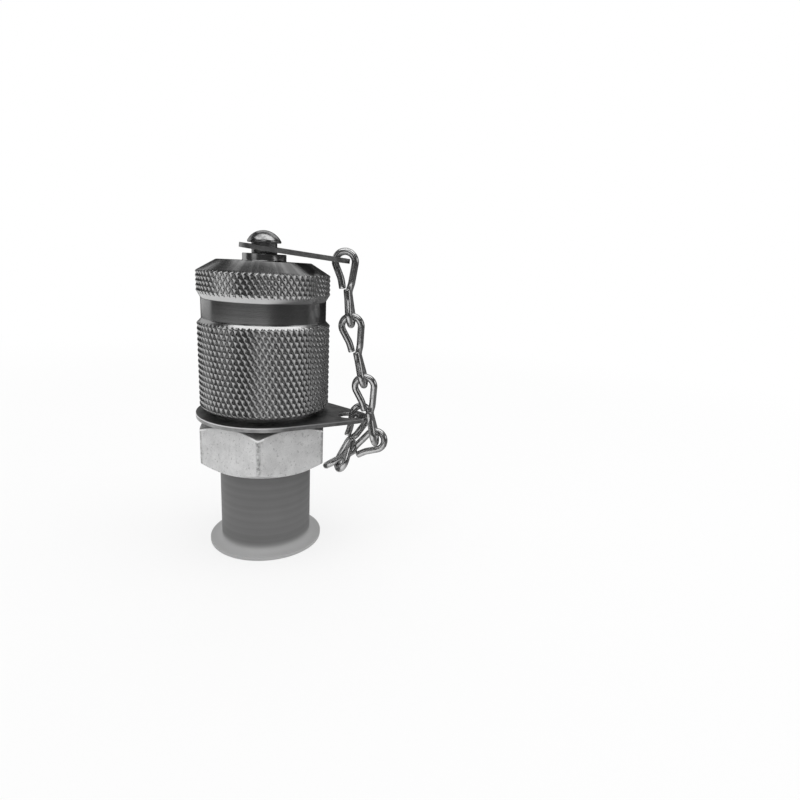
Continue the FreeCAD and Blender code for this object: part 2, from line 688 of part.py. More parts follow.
def link_path():
    """Centre line of a link's wire from free end to free end: upper loop in its own XZ, lower one in YZ.

    Each loop is a round crown with two straight legs that draw together towards the link's middle. One leg
    ends free where the other leaves just room for its wire, the other bends over into the other loop.
    """
    crown_r = (number_of(size["link_wide"]) - number_of(size["wire_d"])) / 2
    crown_mid = link_half() - crown_r
    foot = number_of(size["link_neck"]) / 2
    reach = math.hypot(crown_mid, foot)
    tilt = math.asin(crown_r / reach) - math.atan(foot / crown_mid)
    top = math.sqrt(reach ** 2 - crown_r ** 2) * math.cos(tilt)
    free = (number_of(size["wire_d"] + size["link_shut"]) / 2 - foot) / math.tan(tilt)
    bend = number_of(size["link_bend"])

    def on_leg(side, up, height):
        """Point of the leg on one side of a loop, by its height over the link's middle."""
        return side * (foot + height * math.tan(tilt)) + up * height

    loops = []
    for side, up in ((Vector(1, 0, 0), Vector(0, 0, 1)), (Vector(0, 1, 0), Vector(0, 0, -1))):
        ending = Part.LineSegment(on_leg(-side, up, free), on_leg(-side, up, top))
        crown = Part.Arc(on_leg(-side, up, top), up * link_half(), on_leg(side, up, top))
        through = Part.LineSegment(on_leg(side, up, top), on_leg(side, up, bend))
        loops.append([ending, crown, through, on_leg(side, up, bend), on_leg(side, up, bend / 3)])
    upper, lower = loops
    neck = Part.BezierCurve()
    neck.setPoles([upper[3], upper[4], lower[4], lower[3]])
    edges = upper[:3] + [neck] + lower[2::-1]
    return Part.Wire(Part.__sortEdges__([edge.toShape() for edge in edges]))


def link_half():
    """From a link's middle to the centre line of its crowns."""
    return (number_of(size["link_long"]) - number_of(size["wire_d"])) / 2


def make_link(number, pivot, seat, lean, side=0.0, roll=0.0):
    """One link, hung so that the point seat of its own frame lies at the pivot in the chain's plane."""
    path = link_path()
    start = path.OrderedVertexes[0].Point
    along = path.OrderedEdges[0].tangentAt(path.OrderedEdges[0].FirstParameter)
    section = Part.Wire(Part.Circle(start, along, number_of(size["wire_d"]) / 2).toShape())
    link = doc.addObject("Part::Feature", "chain_link_%d" % number)
    link.Label = "chain_link_%d" % number
    link.Shape = path.makePipeShell([section], True, False)
    frame = chain_frame(lean, side, roll)
    plane = Rotation(Vector(0, 0, 1), number_of(size["chain_angle"]))
    link.Placement = Placement(plane.multVec(pivot) - frame.multVec(seat), frame)
    return link


def link_turns(number):
    """Lean, sideways lean and roll of a link that hangs slack."""
    return [number_of(size["link_%d_%s_angle" % (number, way)]) for way in ("lean", "side", "roll")]


def make_chain():
    """Three links hang below each other from the strap; a fifth hangs on the ring and carries the fourth."""
    half_long = link_half()
    tilt = math.radians(number_of(size["strap_tilt"]))
    web = number_of(strap_eye + half("strap_eye_d") + size["strap_reach"] + size["strap_tip_r"]) / 2
    pivot = Vector(web * math.cos(tilt), 0, number_of(strap_mid) - web * math.sin(tilt))
    seat = half_long - number_of(size["strap_hang"])
    links = []
    for number in (1, 2, 3):
        lean = number_of(size["link_%d_lean_angle" % number])
        links.append(make_link(number, pivot, Vector(0, 0, seat), lean))
        swing = Rotation(Vector(0, 1, 0), -lean)
        pivot = pivot - swing.multVec(Vector(0, 0, seat + half_long))
        seat = half_long - number_of(size["wire_d"] + size["wire_gap"])
    hook = Vector(number_of(size["link_4_across"]), 0, number_of(size["link_4_seat"]))
    links.append(make_link(4, pivot, hook, *link_turns(4)))
    ring_mid = number_of(ring_low + size["sheet"] / 2)
    eye_edge = number_of(ring_eye + half("ring_eye_d") - size["link_5_inset"])
    eye = Vector(eye_edge, number_of(size["link_5_over"]), ring_mid)
    crown = Vector(0, 0, half_long - number_of(size["link_5_hang"]))
    links.append(make_link(5, eye, crown, *link_turns(5)))
    return links


parts = [
    make_coupling_body(),
    make_port_seal(),
    make_valve_seat(),
    make_probe_seal(),
    make_valve_poppet(),
    make_poppet_seal(),
    make_valve_spring(),
    make_spring_retainer(),
    make_retaining_clip(),
    make_thread_protector(),
    make_chain_ring(),
    make_cap_shell(),
    make_cap_seal(),
    make_cap_rivet(),
    make_cap_strap(),
]
parts += make_chain()

doc.recompute()
faults = [item.Label for item in doc.Objects if "Invalid" in item.State or "Error" in item.State]
faults += [part.Label for part in parts if part.Shape.isNull() or not part.Shape.isValid()]
if faults:
    raise RuntimeError("not sound: " + ", ".join(faults))
os.makedirs("parts", exist_ok=True)
for part in parts:
    part.Shape.exportStep(os.path.join("parts", part.Label + ".step"))
    box = part.Shape.BoundBox
    print("%-18s %8.1f mm3  z %.2f to %.2f" % (part.Label, part.Shape.Volume, box.ZMin, box.ZMax))
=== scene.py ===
"""Looks of the test point coupling: knurled cap, plated hex body, wire chain and plastic thread protector.

Lengths are in millimetres until a mesh is written, in the frame of the solids: Z is the turning axis and
the part stands on z = 0. Turned pieces are surfaces of radius over angle and height, and wire is a circle
along a path. In the names of sizes, R is a radius, and LOW and TOP are heights over the standing face.
"""
import math
from collections import namedtuple

import bmesh
import bpy
import numpy as np
from mathutils import Matrix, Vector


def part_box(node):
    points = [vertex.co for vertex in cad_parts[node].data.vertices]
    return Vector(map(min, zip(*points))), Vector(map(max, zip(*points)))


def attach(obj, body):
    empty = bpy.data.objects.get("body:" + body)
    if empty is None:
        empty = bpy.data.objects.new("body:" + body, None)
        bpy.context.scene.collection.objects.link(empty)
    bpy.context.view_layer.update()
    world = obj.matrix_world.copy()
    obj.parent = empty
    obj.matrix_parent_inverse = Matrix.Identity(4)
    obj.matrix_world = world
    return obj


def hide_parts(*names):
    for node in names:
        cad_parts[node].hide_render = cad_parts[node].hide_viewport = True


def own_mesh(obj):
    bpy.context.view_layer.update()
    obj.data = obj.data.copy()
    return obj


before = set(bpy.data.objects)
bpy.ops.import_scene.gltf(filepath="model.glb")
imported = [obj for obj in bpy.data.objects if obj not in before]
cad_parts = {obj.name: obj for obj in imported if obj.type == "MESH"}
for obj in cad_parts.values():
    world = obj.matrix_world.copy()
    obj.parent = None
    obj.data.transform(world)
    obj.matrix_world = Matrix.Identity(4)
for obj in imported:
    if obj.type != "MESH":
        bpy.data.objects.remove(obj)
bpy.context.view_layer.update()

MM = 0.001
FULL = 2 * math.pi
# Points of a mesh that lie closer than this, in metres, become one.
DOUBLES = 1e-7
# Length over which one finish passes into the next, and the fillet at the foot of the collar and of the boss.
FADE, FILLET = 0.1, 0.1
# Share of an outline's side that a softened corner takes at most.
MOST_TRIM = 0.45

# Hex: round end faces, bevels that run down from them to the corners, blunt corners and eased edges.
HEX_LOW, HEX_TOP = 14.1, 21.9
HEX_FLATS = 19.0
HEX_TURN = math.radians(24.0)
HEX_CORNER_R = HEX_FLATS / math.sqrt(3)
HEX_FACE_R, HEX_BEVEL = 9.2, 1.1
HEX_SLOPE = HEX_BEVEL / (HEX_CORNER_R - HEX_FACE_R)
HEX_BLUNT, HEX_EASE, HEX_FACE_EASE = 0.06, 0.05, 0.02
# Radii over which the dark of the worn corners sets in, and the painted highlight under the upper bevel.
CORNER_WEAR_R, LIP_HIGHLIGHT_R = (10.7, 10.88), (10.2, 10.5)

# Body below the hex: port thread with its chamfer, plain neck, recess of the sealing ring.
PORT_LOW, PORT_R = 1.4, 6.5785
PORT_PITCH, PORT_DEEP, PORT_CHAMFER = 1.337, 0.85, 1.0
PORT_NECK_R, PORT_NECK_LOW = 5.8, 12.7
RECESS_R, RECESS_TOP = 8.23, 15.6

# Body above the hex: collar with its bevel's width and height, undercut, thread for the cap, nose.
COLLAR_TOP, COLLAR_BEVEL_R, COLLAR_BEVEL = 23.6, 0.15, 0.25
UNDERCUT_R = 6.7
THREAD_R, THREAD_LOW, THREAD_TOP = 8.0, 24.5, 33.7
THREAD_PITCH, THREAD_DEEP, THREAD_CHAMFER = 2.0, 1.2, 0.9
NOSE_R, NOSE_TOP, NOSE_CHAMFER = 6.3, 36.4, 0.6

# Body inside: valve chamber, groove of its clip, wider bore for the valve seat.
CHAMBER_R, CHAMBER_TOP = 3.9, 24.0
CLIP_R, CLIP_LOW, CLIP_TOP = 4.4, 3.4, 4.2
SEAT_R = 4.6

# Threads of the body: height of a grid's row on the port and on the cap's thread, and how much taller a
# thread's wave would be if it weren't cut flat.
PORT_ROW, THREAD_ROW, THREAD_FLANK = 0.13, 0.12, 1.35

# Cap outside: chamfered mouth, grip, neck, rim, cone, boss, hole of the rivet.
CAP_LOW, CAP_CHAMFER = 23.75, 0.35
GRIP_R, GRIP_TOP = 10.27, 36.9
NECK_R, NECK_LOW, NECK_TOP = 9.61, 37.55, 40.8
RIM_R, RIM_LOW, RIM_TOP = 10.23, 41.8, 44.7
CONE_R, CONE_TOP = 7.2, 46.5
BOSS_R, BOSS_TOP = 3.34, 47.6
RIVET_HOLE_R, RIVET_HOLE_LOW = 1.55, 42.6

# Cap inside: mouth over the thread, bore, groove of the seal, well over the valve's stem.
MOUTH_R, MOUTH_TOP = 8.45, 29.7
BORE_R, BORE_TOP = 8.06, 37.0
GROOVE_R, GROOVE_LOW, GROOVE_TOP = 8.29, 34.42, 36.38
WELL_R, WELL_TOP = 4.5, 40.0

# Knurl: points round the cap, grid cells from a groove to the next ridge, depth of the falling and of the
# rising grooves. A band of it has its lowest row, the height of a row and the radius of its points.
KNURL_COUNT, KNURL_FINE = 69, 4
FALL_DEEP, RISE_DEEP = 0.3, 0.225
Band = namedtuple("Band", "low step crest")
GRIP_BAND = Band(low=24.15, step=12.7 / 15, crest=GRIP_R)
RIM_BAND = Band(low=41.85, step=2.8 / 4, crest=RIM_R)

# Rows of the cap's wall: first one over the mouth, stretch of close rows beside an edge, start of those on
# the cone, and the radius where the plain top takes over.
FIRST_ROW, CLOSE_ROWS, CONE_ROWS, CONE_HALF_R = 0.02, 0.3, 0.4, 8.6
# The mouth's edge is rounded as if the wall went on this far inwards and downwards.
MOUTH_LEAD_R, MOUTH_LEAD = 0.32, 0.1

# Rivet: shank, shoulder for the strap, head with a domed top.
SHANK_R, SHANK_LOW = 1.53, 42.62
SHOULDER_R = 1.95
HEAD_R, HEAD_LOW, HEAD_TOP, DOME = 2.57, 49.25, 51.1, 1.6

# Protector: flange, height of the hollow curve that leads from it to the sleeve, sleeve, its bore and floor.
FLANGE_R, FLANGE_TOP, FLARE = 9.27, 0.6, 0.75
SLEEVE_R, SLEEVE_LOW, SLEEVE_TOP = 7.4, 1.5, 13.95
SLEEVE_BORE_R, SLEEVE_FLOOR = 6.62, 1.0
# The flange's painted light ends between these heights, and fades inwards from this radius to the sleeve.
FLANGE_LIGHT_TOP, FLANGE_LIGHT_R = (0.7, 2.3), 8.5

# Link: wire, middle to crown, crown, legs' distance in the middle, height where the wire leaves its plane.
WIRE_R, LINK_HALF, CROWN_R, LINK_NECK, LINK_BEND = 0.55, 5.6, 1.55, 0.9, 0.9
# A wire's end: distance beside the link's middle, height over it, and height where it leaves its leg.
END_SIDE, END_STOP, END_LEAVE = 0.84, 0.05, 1.9
# The cut of a wire: share of its radius on the face and just behind it, and how far behind.
CUT_FACE, CUT_EDGE, CUT_ROUND = 0.84, 0.96, 0.1

# Chain, in its own plane through the axis. A link hangs by a seat, a place in its own frame, and has a lean,
# a tilt to the side and a roll on itself, in degrees.
CHAIN_TURN = -18.0
STRAP_PIVOT, STRAP_SEAT = (12.6394, 0, 47.2107), LINK_HALF - 1.4
LINK_SEAT = LINK_HALF - 1.32
HANGING_LEANS = (7.2, 14.2, 13.2)
SLACK_SEAT, SLACK_LEAN, SLACK_SIDE, SLACK_ROLL = (-0.363, 0, 3.925), -57.186, 4.866, 165.183
RING_TOP, RING_PIVOT, RING_SEAT = 22.7, (15.686, 1.257, 22.35), LINK_HALF - 1.684
RING_LEAN, RING_SIDE, RING_ROLL = -18.482, -16.103, 31.138

# Valve spring: radius of its coil, wire, turns, and the stroke that shortens it.
SPRING_R, SPRING_WIRE_R, SPRING_TURNS, POPPET_STROKE = 2.6, 0.4, 6.5, 2.2

# Grids: columns round the axis, points along a curve, sides of a wire, and points along a link's wire on its
# end, its two legs, its crown and its neck.
BODY_COLUMNS, RIVET_COLUMNS, PROTECTOR_COLUMNS = 240, 96, 160
DOME_POINTS, FLARE_POINTS, SPRING_POINTS = 20, 14, 240
LINK_SIDES, SPRING_SIDES = 20, 12
END_POINTS, RISE_POINTS, FALL_POINTS, CROWN_POINTS, NECK_POINTS = 9, 7, 8, 38, 14

# Studio: side of the floor, radius and fading edge of the table in reflections, where it darkens to the
# right, radii over which the shadow ends, and the room's level as light and in reflections.
FLOOR_SIDE, TABLE_R, TABLE_FADE = 4000, 220, 60
TABLE_RIGHT, SHADOW_END = (-5, 45), (60, 260)
ROOM_LIGHT, ROOM_DARK = 0.6, 0.035

# Camera: angles and place of the photograph's, its focal length and the photograph's width in pixels, width
# of the sensor and nearest distance that it sees.
YAW, PITCH, ROLL = math.radians(14.45), math.radians(14.13), math.radians(3.14)
CAMERA_PLACE = (0, -88.89, 47.15)
FOCAL_PIXELS, PHOTO_PIXELS = 538.7, 800
SENSOR, NEAREST = 36.0, 5

# A Mix node's sockets for colours, which share their names with those for numbers.
MIX_AMOUNT, MIX_FIRST, MIX_SECOND, MIX_RESULT = 0, 6, 7, 2


class Value:
    """A shader socket that can stand in a Python sum; each sum adds its Math node."""

    def __init__(self, graph, socket):
        self.graph = graph
        self.socket = socket

    def math(self, operation, *terms):
        """Math node on the given terms, of which this value may be any."""
        return self.graph.add("ShaderNodeMath", {"operation": operation}, dict(enumerate(terms)))

    def __add__(self, other):
        return self.math("ADD", self, other)

    def __sub__(self, other):
        return self.math("SUBTRACT", self, other)

    def __rsub__(self, other):
        return self.math("SUBTRACT", other, self)

    def __mul__(self, other):
        return self.math("MULTIPLY", self, other)

    def __truediv__(self, other):
        return self.math("DIVIDE", self, other)

    __radd__ = __add__
    __rmul__ = __mul__

    def between(self, low, high):
        """0 below low, 1 above high and a smooth rise between; with low over high it falls from 1 to 0."""
        falls = low > high
        sockets = {
            "Value": self,
            "From Min": min(low, high),
            "From Max": max(low, high),
            "To Min": 1.0 if falls else 0.0,
            "To Max": 0.0 if falls else 1.0,
        }
        return self.graph.add("ShaderNodeMapRange", {"interpolation_type": "SMOOTHSTEP"}, sockets, "Result")


class Graph:
    """A node tree that nodes are added to."""

    def __init__(self, tree):
        self.tree = tree

    def add(self, kind, settings=None, sockets=None, out=0):
        """One node: its settings first, then its sockets' numbers or links; gives the output named."""
        node = self.tree.nodes.new(kind)
        for name, setting in (settings or {}).items():
            setattr(node, name, setting)
        for name, term in (sockets or {}).items():
            self.plug(node.inputs[name], term)
        return Value(self, node.outputs[out])

    def plug(self, slot, term):
        """Links a value to a node's input, or sets a number or a colour on it."""
        if isinstance(term, Value):
            self.tree.links.new(term.socket, slot)
        else:
            slot.default_value = term


class Finish(Graph):
    """A material on one Principled shader, with object coordinates in millimetres to draw patterns from."""

    def __init__(self, name, constants=None):
        self.material = bpy.data.materials.new(name)
        self.material.use_nodes = True
        super().__init__(self.material.node_tree)
        self.shader = self.tree.nodes["Principled BSDF"]
        for socket, number in (constants or {}).items():
            self.shader.inputs[socket].default_value = number
        metres = self.add("ShaderNodeTexCoord", out="Object")
        enlarged = {"Vector": metres, "Scale": 1 / MM}
        self.place = self.add("ShaderNodeVectorMath", {"operation": "SCALE"}, enlarged)
        self.x = self.along("X")
        self.y = self.along("Y")
        self.z = self.along("Z")
        flattened = {"Vector": self.mapped(1, 1, 0)}
        self.r = self.add("ShaderNodeVectorMath", {"operation": "LENGTH"}, flattened, "Value")

    def along(self, axis):
        """The coordinate along one axis."""
        return self.add("ShaderNodeSeparateXYZ", {}, {"Vector": self.place}, axis)

    def mapped(self, x, y, z):
        """Coordinates times a number along each axis, for grain that runs one way."""
        return self.add("ShaderNodeMapping", {}, {"Vector": self.place, "Scale": (x, y, z)})

    def noise(self, scale, detail=3.0, rough=0.5, at=None):
        """Noise from 0 to 1: its fineness, its finer layers and their strength, and where it is read."""
        where = self.place if at is None else at
        sockets = {"Vector": where, "Scale": scale, "Detail": detail, "Roughness": rough}
        return self.add("ShaderNodeTexNoise", {}, sockets, "Fac")

    def rings(self, scale):
        """Noise that changes only with radius and height: the marks a lathe tool leaves round the axis."""
        line = self.add("ShaderNodeCombineXYZ", {}, {"X": self.r * scale, "Z": self.z * scale})
        return self.noise(1.0, 2.0, 0.6, line)

    def spokes(self, scale):
        """Noise that changes only with the direction from the axis: rays of light on a turned face."""
        line = self.add("ShaderNodeCombineXYZ", {}, {"X": self.x / self.r, "Y": self.y / self.r})
        return self.noise(scale, 3.0, 0.6, line)

    def blend(self, amount, first, second):
        """Colour that goes from the first to the second as amount goes from 0 to 1."""
        sockets = {MIX_AMOUNT: amount, MIX_FIRST: first, MIX_SECOND: second}
        return self.add("ShaderNodeMix", {"data_type": "RGBA"}, sockets, MIX_RESULT)

    # Every finish feeds its colour through here, real marks and painted light alike.
    def feed(self, color, roughness=None, metallic=None, bump=None, strength=0.0, depth=0.0):
        """Feeds what changes over the surface to the shader; depth is the bump's height in millimetres."""
        feeds = {"Base Color": color, "Roughness": roughness, "Metallic": metallic}
        if bump is not None:
            sockets = {"Strength": strength, "Distance": depth * MM, "Height": bump}
            feeds["Normal"] = self.add("ShaderNodeBump", {}, sockets, "Normal")
        for socket, term in feeds.items():
            if term is not None:
                self.plug(self.shader.inputs[socket], term)
        return self.material


def grey(level):
    """Neutral colour of one level."""
    return (level, level, level, 1.0)


def knurled_steel():
    """Bright turned steel: lathe marks, rough grooves with painted shade, painted dark rays on the cone."""
    f = Finish("knurled_steel", {"Metallic": 1.0})
    grip = f.r.between(GRIP_R, GRIP_R - FALL_DEEP) * f.z.between(GRIP_TOP + FADE, GRIP_TOP - FADE)
    rim = f.r.between(RIM_R, RIM_R - FALL_DEEP) * f.z.between(RIM_LOW - FADE, RIM_LOW + FADE)
    rim = rim * f.z.between(RIM_TOP + FADE, RIM_TOP)
    groove = grip.math("MAXIMUM", grip, rim)
    cone = f.z.between(RIM_TOP, RIM_TOP + 2 * FADE) * f.r.between(CONE_R - FADE, CONE_R)
    # Painted reflection: dark rays on the cone, for the streaks of light and shade that its turned face
    # reflects.
    rays = f.spokes(7.0).between(0.35, 0.7) * cone
    marks = f.rings(9.0)
    tone = f.blend(f.noise(0.35, 4.0), grey(0.5), grey(0.6))
    # Painted shade: the colour darkens towards the bottoms of the knurl's grooves, which are also rougher.
    tone = f.blend(groove * 0.55, tone, grey(0.12))
    tone = f.blend(rays * 0.75, tone, grey(0.16))
    return f.feed(tone, roughness=0.17 + marks * 0.1 + groove * 0.1, bump=marks, strength=0.06, depth=0.03)


def plated_hex():
    """Satin zinc: pale, fine grain, dark specks, a few long scuffs, dark corners and a painted highlight."""
    f = Finish("plated_hex")
    grain = f.noise(5.0, 5.0, 0.7)
    cloud = f.noise(0.45, 4.0, 0.6)
    specks = f.noise(2.2, 4.0, 0.75).between(0.57, 0.66)
    scuffs = f.noise(1.0, 3.0, 0.7, f.mapped(2.4, 2.4, 0.35)).between(0.6, 0.72)
    corner = f.r.between(*CORNER_WEAR_R) * f.noise(2.2, 5.0, 0.7).between(0.3, 0.62)
    # Height that a point would have if the upper bevel's cone were laid flat: HEX_TOP on the bevel.
    level = f.z + (f.r - HEX_FACE_R) * HEX_SLOPE
    bevel = level.between(HEX_TOP - 0.12, HEX_TOP - 0.02)
    # Painted highlight: a bright line in patches along the lip under the upper bevel, where a rounded edge
    # would glint.
    lip_highlight = level.between(HEX_TOP - 0.42, HEX_TOP - 0.26) * f.r.between(*LIP_HIGHLIGHT_R)
    lip_highlight = lip_highlight * f.noise(1.4, 3.0).between(0.3, 0.5)
    sides = f.z.between(HEX_LOW - 2 * FADE, HEX_LOW) * f.z.between(HEX_TOP + 2 * FADE, HEX_TOP)
    sides = sides * (1.0 - bevel)
    tone = f.blend(cloud.between(0.25, 0.75), grey(0.62), grey(0.8))
    tone = f.blend((grain - 0.3) * 0.6, tone, grey(0.36))
    tone = f.blend(specks * 0.45 + scuffs * 0.15, tone, grey(0.16))
    tone = f.blend(corner * 0.6, tone, grey(0.14))
    # Painted highlight under the upper bevel.
    tone = f.blend(lip_highlight, tone, grey(0.97))
    tone = f.blend(1.0 - sides, tone, grey(0.42))
    rough = 0.4 + grain * 0.14 + specks * 0.2
    return f.feed(tone, roughness=rough, metallic=0.95 - sides * 0.65, bump=grain, strength=0.16, depth=0.06)


def bright_wire():
    """Drawn and plated wire: bright, with dull spots and a fine grain."""
    f = Finish("bright_wire", {"Metallic": 1.0})
    spots = f.noise(2.0, 4.0, 0.6)
    tone = f.blend(spots.between(0.5, 0.72), grey(0.66), grey(0.34))
    return f.feed(tone, roughness=0.14 + spots * 0.18, bump=f.noise(6.0, 3.0), strength=0.1, depth=0.04)


def stamped_sheet():
    """Stamped and plated sheet: mid grey, rolling lines, clouds, a painted highlight at the ring's top edge.
    """
    f = Finish("stamped_sheet", {"Metallic": 1.0})
    lines = f.noise(1.0, 3.0, 0.7, f.mapped(0.5, 9.0, 9.0))
    cloud = f.noise(0.5, 4.0, 0.6)
    # Painted highlight: a bright band just under the ring's top edge, where its rounded edge would glint.
    edge = f.z.between(RING_TOP - 0.24, RING_TOP - 0.14) * f.z.between(RING_TOP - 0.01, RING_TOP - 0.04)
    tone = f.blend(cloud.between(0.35, 0.7), grey(0.44), grey(0.26))
    tone = f.blend(edge * 0.8, tone, grey(0.9))
    return f.feed(tone, roughness=0.32 + lines * 0.16, bump=lines, strength=0.1, depth=0.04)


def bright_rivet():
    """Bright cold-formed rivet with rings from the setting tool."""
    f = Finish("bright_rivet", {"Metallic": 1.0})
    marks = f.rings(5.0)
    tone = f.blend(f.noise(1.6, 4.0).between(0.4, 0.66), grey(0.46), grey(0.24))
    return f.feed(tone, roughness=0.16 + marks * 0.16, bump=marks, strength=0.14, depth=0.06)


def protector_plastic():
    """Moulded, a little see-through plastic: painted shade of the thread behind, painted light in the flange.
    """
    f = Finish("protector_plastic", {"Metallic": 0.0, "IOR": 1.5, "Specular IOR Level": 0.35})
    bands = f.rings(4.0)
    cloud = f.noise(0.25, 3.0)
    # Painted shade: dark bands where the thread lies behind the sleeve's wall.
    turns = f.z * (FULL / PORT_PITCH)
    thread = turns.math("SINE", turns)
    # Painted light: the thin flange is paler, as if light came through its plastic.
    sleeve = f.z.between(*FLANGE_LIGHT_TOP) * f.r.between(FLANGE_LIGHT_R, SLEEVE_R)
    tone = f.blend(bands * 0.6 + cloud * 0.4, grey(0.135), grey(0.2))
    tone = f.blend(thread * 0.06 + 0.06, tone, grey(0.06))
    tone = f.blend(1.0 - sleeve, tone, grey(0.46))
    return f.feed(tone, roughness=0.42 + cloud * 0.16, bump=f.noise(1.2, 4.0), strength=0.08, depth=0.08)


def valve_steel():
    """Turned steel of the inner pieces, with lathe rings."""
    f = Finish("valve_steel", {"Metallic": 1.0})
    marks = f.rings(6.0)
    tone = f.blend(marks, grey(0.38), grey(0.55))
    return f.feed(tone, roughness=0.22 + marks * 0.14, bump=marks, strength=0.12, depth=0.05)


def spring_steel():
    """Dark oiled spring wire."""
    f = Finish("spring_steel", {"Metallic": 1.0})
    spots = f.noise(3.0, 4.0)
    tone = f.blend(spots, grey(0.16), grey(0.32))
    return f.feed(tone, roughness=0.26 + spots * 0.2, bump=spots, strength=0.1, depth=0.05)


def seal_rubber():
    """Black moulded rubber with a fine dull grain."""
    f = Finish("seal_rubber", {"Metallic": 0.0})
    grain = f.noise(7.0, 4.0, 0.6)
    tone = f.blend(grain, grey(0.012), grey(0.035))
    return f.feed(tone, roughness=0.5 + grain * 0.25, bump=grain, strength=0.2, depth=0.06)


def skin(rows, columns):
    """Quads of a grid of points: each row to the next, and the last column to the first."""
    row = np.arange(rows - 1)[:, None] * columns
    column = np.arange(columns)
    beside = (column + 1) % columns
    above = row + columns
    return np.stack([row + column, row + beside, above + beside, above + column], -1).reshape(-1, 4)


def put(name, points, body, node, material, crease=40, faces=None):
    """Closed mesh over a grid of points, in place of a CAD node and riding on its body.

    Edges sharper than the crease, in degrees, stay sharp. Without faces of its own the mesh gets the grid's.
    """
    mesh = bpy.data.meshes.new(name)
    faces = faces or skin(*points.shape[:2]).tolist()
    mesh.from_pydata((points.reshape(-1, 3) * MM).tolist(), [], faces)
    work = bmesh.new()
    work.from_mesh(mesh)
    bmesh.ops.remove_doubles(work, verts=work.verts, dist=DOUBLES)
    work.to_mesh(mesh)
    work.free()
    mesh.shade_smooth()
    mesh.set_sharp_from_angle(angle=math.radians(crease))
    mesh.materials.append(material)
    piece = bpy.data.objects.new(name, mesh)
    bpy.context.scene.collection.objects.link(piece)
    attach(piece, body)
    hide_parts(node)
    return piece


def softened(corners, radius, steps=4):
    """Outline with a curve at each inner corner: a parabola between points trimmed by radius on both sides.

    Where a side is short, the trim stops a little before its middle.
    """
    corners = np.asarray(corners, float)
    before, here, after = corners[:-2], corners[1:-1], corners[2:]
    back = np.linalg.norm(before - here, axis=1, keepdims=True)
    ahead = np.linalg.norm(after - here, axis=1, keepdims=True)
    start = here + (before - here) * np.minimum(radius, back * MOST_TRIM) / back
    stop = here + (after - here) * np.minimum(radius, ahead * MOST_TRIM) / ahead
    t = np.linspace(0, 1, steps)[None, :, None]
    curve = start[:, None] * (1 - t) ** 2 + here[:, None] * 2 * t * (1 - t) + stop[:, None] * t ** 2
    return np.vstack([corners[:1], curve.reshape(-1, 2), corners[-1:]])


def angles(columns, start=0.0):
    """Angles of the columns of a turned grid, spread evenly round the axis."""
    return start + np.arange(columns) * FULL / columns


def around(radius, height, angle):
    """Points at a radius and a height round the axis, for arrays of rows over angles."""
    radius, height, angle = np.broadcast_arrays(radius, height, angle)
    return np.stack([radius * np.cos(angle), radius * np.sin(angle), height], -1)


def turned(outline, angle):
    """Surface of revolution of an outline of radii and heights."""
    outline = np.asarray(outline, float)
    return around(outline[:, :1], outline[:, 1:], angle[None])


def knurl(height, angle, band):
    """Radius of a diamond knurl: two sets of V grooves that cross, with a four-sided point between them.

    Counted in half pitches round and in rows up, a groove lies where the sum or the difference of both
    counts is even. The surface rises evenly from a groove to half way to the next, and the lower of both
    sets counts. The grooves that rise to the right are cut less deep, so that the ridges between the
    others run on.
    """
    along = angle * KNURL_COUNT / math.pi
    up = (height - band.low) / band.step
    falling = FALL_DEEP * np.abs((along + up) % 2.0 - 1.0)
    rising = RISE_DEEP * np.abs((along - up) % 2.0 - 1.0)
    return band.crest - np.maximum(falling, rising)


def band_rows(band, bottom, top):
    """Heights of the rows of a knurl's grid between two heights, a few to each row of points."""
    fine = band.step / KNURL_FINE
    first = math.ceil((bottom - band.low) / fine)
    last = math.floor((top - band.low) / fine)
    return band.low + fine * np.arange(first, last + 1)


def cap_wall(height, angle):
    """Radius of the cap's outside: its turned outline, cut back to the knurl where that lies deeper."""
    mouth = GRIP_R - CAP_CHAMFER
    outline = softened([
        (mouth - MOUTH_LEAD_R, CAP_LOW - MOUTH_LEAD), (mouth, CAP_LOW), (GRIP_R, CAP_LOW + CAP_CHAMFER),
        (GRIP_R, GRIP_TOP), (NECK_R, NECK_LOW), (NECK_R, NECK_TOP), (RIM_R, RIM_LOW), (RIM_R, RIM_TOP),
        (CONE_R, CONE_TOP)], radius=0.1)
    plain = np.interp(height, outline[:, 1], outline[:, 0])
    grip = knurl(height, angle, GRIP_BAND)
    rim = knurl(height, angle, RIM_BAND)
    knurled = np.minimum(plain, np.where(height < NECK_LOW, grip, rim))
    return np.where((height < NECK_LOW) | (height > NECK_TOP), knurled, plain)


def split(heights, angle):
    """Triangles of the wall's grid: each cell is cut along the diagonal nearer to the surface's middle."""
    rows, columns = len(heights), len(angle)
    row, column = np.meshgrid(np.arange(rows - 1), np.arange(columns), indexing="ij")
    beside = (column + 1) % columns
    corners = np.stack([row * columns + column, row * columns + beside,
                        (row + 1) * columns + beside, (row + 1) * columns + column], -1)
    radius = cap_wall(heights[:, None], angle[None])
    middle = cap_wall((heights[:-1, None] + heights[1:, None]) / 2, angle[None] + math.pi / columns)
    rising = np.abs((radius[row, column] + radius[row + 1, beside]) / 2 - middle)
    falling = np.abs((radius[row, beside] + radius[row + 1, column]) / 2 - middle)
    cuts = np.array([[[0, 1, 2], [0, 2, 3]], [[0, 1, 3], [1, 2, 3]]])
    order = cuts[(falling < rising).astype(int)]
    return np.take_along_axis(corners[:, :, None, :], order, -1).reshape(-1, 3)


